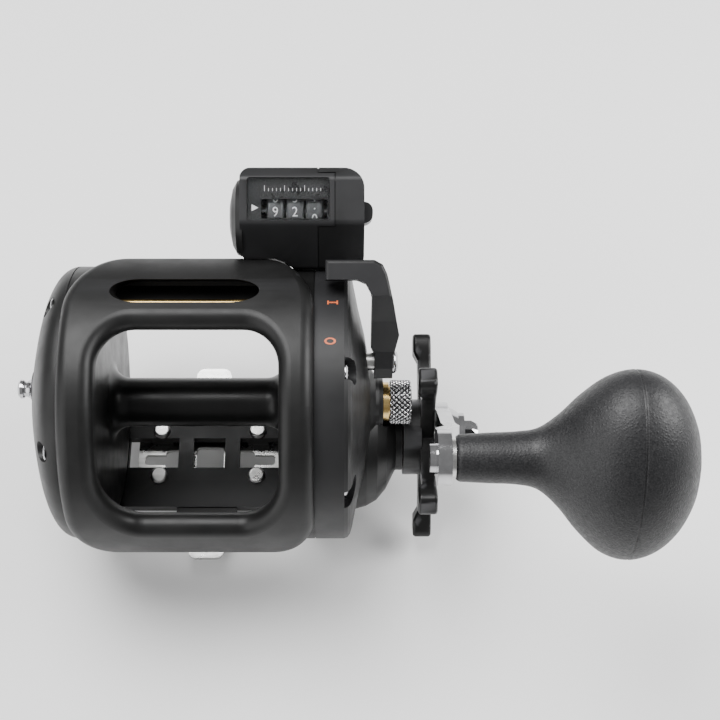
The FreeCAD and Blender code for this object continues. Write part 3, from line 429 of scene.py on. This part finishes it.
def knob():
    """The power knob: a round neck flares into a flattened paddle, with the seam of two shells."""
    u, c = case_place("knob_turn")
    lengths, depths, drops = ([(stop[0], stop[column]) for stop in KNOB_STOPS]
                              for column in (1, 2, 3))
    first, last = KNOB_STOPS[0][0], KNOB_STOPS[-1][0]
    stations = [first + (last - first) * math.sin(step / KNOB_STEPS * math.pi / 2)
                for step in range(KNOB_STEPS + 1)]
    stations += [KNOB_SEAM - SEAM_HALF, KNOB_SEAM - SEAM_HALF / 2, KNOB_SEAM + SEAM_HALF / 2,
                 KNOB_SEAM + SEAM_HALF]
    rings = []
    for x in sorted(stations):
        groove = SEAM_DEPTH if abs(x - KNOB_SEAM) < SEAM_HALF * SEAM_FLOOR else 0.0
        rim = KNOB_CHAMFER * max(0.0, 1 - (x - first) / KNOB_CHAMFER_LONG)
        long = spline(lengths, x) - groove - rim
        deep = spline(depths, x) - groove - rim
        middle = u - spline(drops, x)
        ring = []
        for step in range(KNOB_AROUND):
            angle = 2 * math.pi * step / KNOB_AROUND
            along, across = long * math.cos(angle), deep * math.sin(angle)
            ring.append((x, middle + along * math.cos(KNOB_TURN) - across * math.sin(KNOB_TURN),
                         c + along * math.sin(KNOB_TURN) + across * math.cos(KNOB_TURN)))
        rings.append(ring)
    middle = u - drops[-1][1]
    nose = [(last, (point[1] + middle) / 2, (point[2] + c) / 2) for point in rings[-1]]
    rings.append(nose)
    piece("power_knob", grid_solid("power_knob", rings), "knob", "knob_black",
          replaces=["handle_knob"])


# Cast-control cap --------------------------------------------------------

CAP_X = (53.4, 59.4)
CAP_R = 6.2
CAP_BORE = 4.6
CAP_EDGE = 0.4           # length of the plain edge at each end
CAP_ROWS = 46
CAP_AROUND = 340
KNURLS = 26
KNURL_LEAN = 4.1         # how fast the knurl's grooves wind along X
KNURL_DEPTH = 0.5
KNURL_WIDTH = 0.55       # share of the knurl's pitch that is groove


def knurl(x, angle, r):
    """Diamond knurling between the cap's two chamfers."""
    if r < CAP_R - 0.01:
        return r
    groove = 0.0
    for way in (1, -1):
        phase = (KNURLS * angle + way * KNURL_LEAN * x) / (2 * math.pi) % 1.0
        groove = max(groove, 1 - abs(phase - 0.5) * 2 / KNURL_WIDTH)
    return r - KNURL_DEPTH * groove


def cast_cap():
    """The cast-control cap: knurled round its side, dished in its outer face, bored from behind."""
    u, c = case_place("cast_cap_turn")
    x0, x1 = CAP_X
    outline = [(x1 - 2.0, CAP_BORE), (x0, CAP_BORE), (x0, CAP_R - 0.5)]
    side = x1 - x0 - 2 * CAP_EDGE
    outline += [(x0 + CAP_EDGE + side * row / CAP_ROWS, CAP_R) for row in range(CAP_ROWS + 1)]
    outline += [(x1, CAP_R - 0.55), (x1, CAP_R - 1.6), (x1 - 0.25, CAP_R - 1.9), (x1 - 0.25, 0.8)]
    mesh = sharpen(lathe("cast_cap", outline, u, c, CAP_AROUND, knurl), 50)
    # The cap's knurl grooves carry painted shade from this look.
    piece("knurled_cap", mesh, "cast_cap", "chrome", SHADED_KNURL, ["cast_control_cap"])


# Screws ------------------------------------------------------------------

# Half lengths along U and C of each cutter, as shares of the slot's reach
CROSS = ((1.0, 0.2), (0.2, 1.0))
SLOT = ((1.9, 0.14),)
SLOT_REACH = 0.62        # slot's reach and depth, as shares of the head's radius and height
EDGE_SHARE = 0.25        # share of the head's height that is its straight edge
TOP_SHARE = 0.30         # radius of the flat top, as a share of the head's radius
LEFT_HEADS = {"x0": -36.2, "height": 0.7, "radius": 2.4}
LEFT_CIRCLE = 34.6
LEFT_ANGLES = (48, -20, -132, 150)
RIGHT_HEADS = {"x0": 40.2, "height": 1.5, "radius": 2.8}
RIGHT_CIRCLE = 33.0
RIGHT_ANGLES = (-41, 15, 139, -165)
LEVER_HEAD = {"x0": 53.8, "height": 1.6, "radius": 3.3}


def around_spool(angle, radius):
    """U and C of a point on a circle about the spool axis."""
    return radius * math.sin(math.radians(angle)), radius * math.cos(math.radians(angle))


def screw_head(place, face, slots, x0, height, radius):
    """A domed head whose top looks along X in the direction face, with crossed or single slots."""
    u, c = place
    top = x0 + face * height
    outline = [(x0, radius * 0.98), (x0 + face * height * EDGE_SHARE, radius)]
    for step in range(1, 7):
        turn = step / 6 * math.pi / 2
        rise = height * (EDGE_SHARE + (1 - EDGE_SHARE) * math.sin(turn))
        outline.append((x0 + face * rise, radius * (TOP_SHARE + (1 - TOP_SHARE) * math.cos(turn))))
    head = loose(lathe("screw", outline, u, c, 40))
    reach = radius * SLOT_REACH
    x_low, x_high = sorted((top - face * height * SLOT_REACH, top + face))
    cutters = [loose(box_mesh(x_low, x_high, u - half_u * reach, u + half_u * reach,
                              c - half_c * reach, c + half_c * reach))
               for half_u, half_c in slots]
    return cut_away(head, cutters)


def join(name, meshes):
    """One mesh from several."""
    work = bmesh.new()
    for mesh in meshes:
        work.from_mesh(mesh)
    joined = bpy.data.meshes.new(name)
    work.to_mesh(joined)
    work.free()
    for polygon in joined.polygons:
        polygon.use_smooth = True
    return sharpen(joined, 35)


def screws():
    """The heads of the cover screws on both sides and of the lever's screw."""
    left = [screw_head(around_spool(angle, LEFT_CIRCLE), -1, CROSS, **LEFT_HEADS)
            for angle in LEFT_ANGLES]
    right = [screw_head(around_spool(angle, RIGHT_CIRCLE), 1, CROSS, **RIGHT_HEADS)
             for angle in RIGHT_ANGLES]
    lever = [screw_head(case_place("lever_throw"), 1, SLOT, **LEVER_HEAD)]
    piece("left_screw_heads", join("left_screw_heads", left), "reel_frame", "chrome",
          replaces=["left_cover_screws"])
    piece("right_screw_heads", join("right_screw_heads", right), "reel_frame", "chrome",
          replaces=["right_plate_screws"])
    piece("lever_screw_head", join("lever_screw_head", lever), "lever", "chrome",
          replaces=["lever_screw"])


# Level-wind worm ---------------------------------------------------------

WORM_R = 2.6
WORM_HALF = 24.0         # half length of the thick part
JOURNAL_R = 1.5
JOURNAL_ENDS = (-31.9, 29.4)
WORM_CHAMFER = 0.3
WORM_PLAIN = 0.5         # length at each end of the thick part that has no rows of points
WORM_ROWS = 220
GROOVED_HALF = 22.6
GROOVE_PITCH = 7.0
GROOVE_DEPTH = 0.75
GROOVE_HALF = 0.14       # half the groove's width, as a share of its pitch


def grooved(x, angle, r):
    """Crossed helical grooves along the worm's thick part."""
    if r < WORM_R - 0.1 or abs(x) > GROOVED_HALF:
        return r
    cut = 0.0
    for way in (1, -1):
        phase = (x / GROOVE_PITCH + way * angle / (2 * math.pi)) % 1.0
        cut = max(cut, 1 - (abs(phase - 0.5) / GROOVE_HALF) ** 4)
    return r - GROOVE_DEPTH * min(1.0, max(0.0, cut))


def worm():
    """The worm shaft with its crossed helical grooves and a journal at each end."""
    u, c = case_place("worm_turn")
    left, right = JOURNAL_ENDS
    first = WORM_PLAIN - WORM_HALF
    outline = [(left, JOURNAL_R - WORM_CHAMFER), (left + WORM_CHAMFER, JOURNAL_R),
               (-WORM_HALF, JOURNAL_R), (-WORM_HALF, WORM_R - WORM_CHAMFER),
               (WORM_CHAMFER - WORM_HALF, WORM_R)]
    outline += [(first - 2 * first * row / WORM_ROWS, WORM_R) for row in range(WORM_ROWS + 1)]
    outline += [(WORM_HALF - WORM_CHAMFER, WORM_R), (WORM_HALF, WORM_R - WORM_CHAMFER),
                (WORM_HALF, JOURNAL_R), (right - WORM_CHAMFER, JOURNAL_R),
                (right, JOURNAL_R - WORM_CHAMFER)]
    mesh = sharpen(lathe("worm", outline, u, c, 64, grooved), 50)
    piece("grooved_worm", mesh, "worm", "steel", replaces=["worm_shaft"])


# Counter -----------------------------------------------------------------

WHEEL_R = 6.0
WHEEL_X = {"hundreds": 20.0, "tens": 25.2, "units": 30.4}
WHEEL_WIDTH = 4.8
WHEEL_BORE = 1.6
WHEEL_SKIN = 0.02        # the drum lies this far under the numerals' foot
# For each wheel, the digit shown and its angle in degrees from the window's line
SHOWN = {"hundreds": (9, -9.0), "tens": (2, -9.0), "units": (0, -27.0)}
DIGIT_HEIGHT = 2.7
DIGIT_THICK = 0.08
DIGIT_NARROWED = 0.9
DIGIT_TURN = 36.0
CAPITAL_SHARE = 0.73     # height of a numeral as a share of the font's size


def text_mesh(character, height, thick):
    """A flat character as a mesh, centred, in millimetres."""
    curve = bpy.data.curves.new("text", "FONT")
    curve.body = character
    curve.align_x = "CENTER"
    curve.align_y = "CENTER"
    curve.size = height / CAPITAL_SHARE
    curve.extrude = thick / 2
    curve.resolution_u = 6
    source = loose(curve)
    mesh = evaluated_mesh(source)
    bpy.data.objects.remove(source)
    return mesh


def wheel_digits(name, x, shown, turn, u, c):
    """Ten numerals wrapped round a wheel; the shown one stands turn degrees above the line."""
    work = bmesh.new()
    for step in range(10):
        digit = text_mesh(str((shown + step) % 10), DIGIT_HEIGHT, DIGIT_THICK)
        middle = math.radians(turn + DIGIT_TURN * step)
        for vertex in digit.vertices:
            angle = middle + vertex.co.y / WHEEL_R
            radius = WHEEL_R + vertex.co.z
            vertex.co = case(x + vertex.co.x * DIGIT_NARROWED,
                             u + radius * math.sin(angle), c + radius * math.cos(angle))
        work.from_mesh(digit)
    mesh = bpy.data.meshes.new(name)
    work.to_mesh(mesh)
    work.free()
    return mesh


def number_wheels():
    """Three rolled-edge drums with their numerals."""
    # How far in from the drum's end, and how far under its numerals, its edge rolls through
    roll = ((0.0, WHEEL_R - WHEEL_BORE), (0.0, 0.9), (0.15, 0.5), (0.5, 0.12), (0.8, WHEEL_SKIN))
    for name, x0 in WHEEL_X.items():
        u, c = case_place(name + "_turn")
        x1 = x0 + WHEEL_WIDTH
        outline = [(x0 + inward, WHEEL_R - under) for inward, under in roll]
        outline += [(x1 - inward, WHEEL_R - under) for inward, under in reversed(roll)]
        body = "wheel_" + name
        mesh = sharpen(lathe(name + "_wheel", outline, u, c, 96), 60)
        piece(name + "_drum", mesh, body, "wheel_black", replaces=[name + "_wheel"])
        shown, turn = SHOWN[name]
        digits = wheel_digits(name + "_digits", (x0 + x1) / 2, shown, turn, u, c)
        piece(name + "_numerals", digits, body, "wheel_black", WHITE_INK)


PANEL_TOP = 24.0
PRINT_C = (PANEL_TOP - 0.02, PANEL_TOP + 0.05)
TICKS = 15
TICK_X = 19.6
TICK_PITCH = 1.06
TICK_HALF = 0.08
TICK_FOOT = 56.4
TICK_SHORT = 0.8
TICK_LONG = 1.5
POINTER = ((16.2, 51.1), (18.0, 52.0), (16.2, 52.9))
POINTER_FACES = [(0, 2, 1), (3, 4, 5), (0, 1, 4, 3), (1, 2, 5, 4), (2, 0, 3, 5)]


def counter_scale():
    """A row of plain white ticks above the window in the face plate, and a pointer beside it."""
    meshes = []
    for step in range(TICKS):
        x = TICK_X + step * TICK_PITCH
        height = TICK_LONG if step % 5 == 0 else TICK_SHORT
        meshes.append(box_mesh(x - TICK_HALF, x + TICK_HALF, TICK_FOOT, TICK_FOOT + height,
                               *PRINT_C))
    points = [(x, u, c) for c in PRINT_C for x, u in POINTER]
    meshes.append(mesh_from("pointer", points, POINTER_FACES, smooth=False))
    mesh = join("scale", meshes)
    for polygon in mesh.polygons:
        polygon.use_smooth = False
    piece("counter_scale", mesh, "reel_frame", "panel_black", WHITE_INK)


# Printed lever marks -----------------------------------------------------

BAND_R = 38.0
BAND_LIFTS = (-0.02, 0.04)
# X and angle in degrees of each mark's middle
ENGAGED_PLACE = (37.6, 45.0)
FREE_PLACE = (37.0, 26.0)
BAR_HALF = 1.4           # half length of the bar, out to its end caps
BAR_WIDE = 0.22
CAP_DEEP = 0.4
CAP_WIDE = 0.7
RING_R = 1.0
RING_WIDTH = 0.38
RING_SQUASH = 1.5


def band_mark(name, outlines, x, angle):
    """Thin orange shapes wrapped on the side plate's rim; outlines hold (x, along) corner pairs."""
    points, faces = [], []
    for outline in outlines:
        base = len(points)
        for dx, along in outline:
            for lift in BAND_LIFTS:
                turn = math.radians(angle) + along / BAND_R
                radius = BAND_R + lift
                points.append((x + dx, radius * math.sin(turn), radius * math.cos(turn)))
        count = len(outline)
        faces.append(tuple(base + 2 * i + 1 for i in range(count)))
        for i in range(count):
            here, after = base + 2 * i, base + 2 * ((i + 1) % count)
            faces.append((here, after, after + 1, here + 1))
    mesh = mesh_from(name, points, faces, smooth=False)
    piece(name, mesh, "reel_frame", "graphite_black", ORANGE_INK)


def bar(x0, x1, low, high):
    """The four corners of a rectangle."""
    return [(x0, low), (x1, low), (x1, high), (x0, high)]


def ring_segments(radius, width, squash):
    """The four-cornered pieces of an oval ring."""
    count = 20
    segments = []
    for step in range(count):
        a, b = (2 * math.pi * (step + k) / count for k in (0, 1))
        corners = [(radius, a), (radius, b), (radius - width, b), (radius - width, a)]
        segments.append([(squash * r * math.cos(t), r * math.sin(t)) for r, t in corners])
    return segments


def lever_marks():
    """A bar where the drive is engaged and a ring where the spool runs free."""
    inner = BAR_HALF - CAP_DEEP
    capped_bar = [bar(-BAR_HALF, BAR_HALF, -BAR_WIDE, BAR_WIDE),
                  bar(-BAR_HALF, -inner, -CAP_WIDE, CAP_WIDE),
                  bar(inner, BAR_HALF, -CAP_WIDE, CAP_WIDE)]
    band_mark("engaged_mark", capped_bar, *ENGAGED_PLACE)
    band_mark("free_mark", ring_segments(RING_R, RING_WIDTH, RING_SQUASH), *FREE_PLACE)


# Studio ------------------------------------------------------------------

FLOOR_HALF = 3.0         # metres
FLOOR_GAP = 0.001
WORLD_STRENGTH = 0.36
# Place and target in case axes, then the size in metres and the power in watts
SOFTBOXES = {"key": ((-160, 420, 420), (40, 0, 0), 0.5, 7.0),
             "fill": ((-420, -120, 320), (0, 0, 0), 0.6, 2.0),
             "rim": ((460, 200, 200), (80, 0, 20), 0.35, 3.4)}


def studio():
    """A plain pale floor just under the foot, and an even pale world."""
    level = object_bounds()[0].z - FLOOR_GAP
    corners = ((-1, -1), (1, -1), (1, 1), (-1, 1))
    mesh = bpy.data.meshes.new("floor")
    mesh.from_pydata([(x * FLOOR_HALF, y * FLOOR_HALF, level) for x, y in corners],
                     [], [(0, 1, 2, 3)])
    floor = bpy.data.objects.new("floor", mesh)
    bpy.context.scene.collection.objects.link(floor)
    material, tree, shader, place = new_material("pale_floor")
    pale = ramp(tree, noise(tree, place, 3.0), ((0.3, 0.86), (0.7, 0.89)))
    tree.links.new(pale, shader.inputs["Base Color"])
    shader.inputs["Roughness"].default_value = 0.9
    mesh.materials.append(material)
    floor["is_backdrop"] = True
    world = bpy.data.worlds.new("studio")
    world.use_nodes = True
    background = world.node_tree.nodes["Background"]
    background.inputs["Color"].default_value = (1, 1, 1, 1)
    background.inputs["Strength"].default_value = WORLD_STRENGTH
    bpy.context.scene.world = world


def softbox(name, place, target, size, power):
    """An area light at a point in case axes, aimed at another."""
    light = bpy.data.lights.new(name, "AREA")
    light.shape = "DISK"
    light.size = size
    light.energy = power
    lamp = bpy.data.objects.new(name, light)
    bpy.context.scene.collection.objects.link(lamp)
    start, end = case(*place), case(*target)
    lamp.location = start
    lamp.rotation_mode = "QUATERNION"
    lamp.rotation_quaternion = (end - start).to_track_quat("-Z", "Y")


CAMERA_PLACE = (39.8, 11.8, 400.0)
CAMERA_LENS = 71.2
CAMERA_SENSOR = 36.0
CAMERA_SHIFT = 0.0264


def camera():
    """Looks straight down the C axis, as the angler does over the reel."""
    data = bpy.data.cameras.new("camera")
    data.lens = CAMERA_LENS
    data.sensor_width = CAMERA_SENSOR
    data.shift_x = CAMERA_SHIFT
    data.clip_start = 0.01
    data.clip_end = 20.0
    made = bpy.data.objects.new("camera", data)
    bpy.context.scene.collection.objects.link(made)
    made.matrix_world = Matrix.Translation(case(*CAMERA_PLACE)) @ CASE.to_3x3().to_4x4()
    bpy.context.scene.camera = made


def main():
    dress_nodes()
    knob()
    cast_cap()
    screws()
    worm()
    number_wheels()
    counter_scale()
    lever_marks()
    camera()
    studio()
    for name, settings in SOFTBOXES.items():
        softbox(name, *settings)


main()
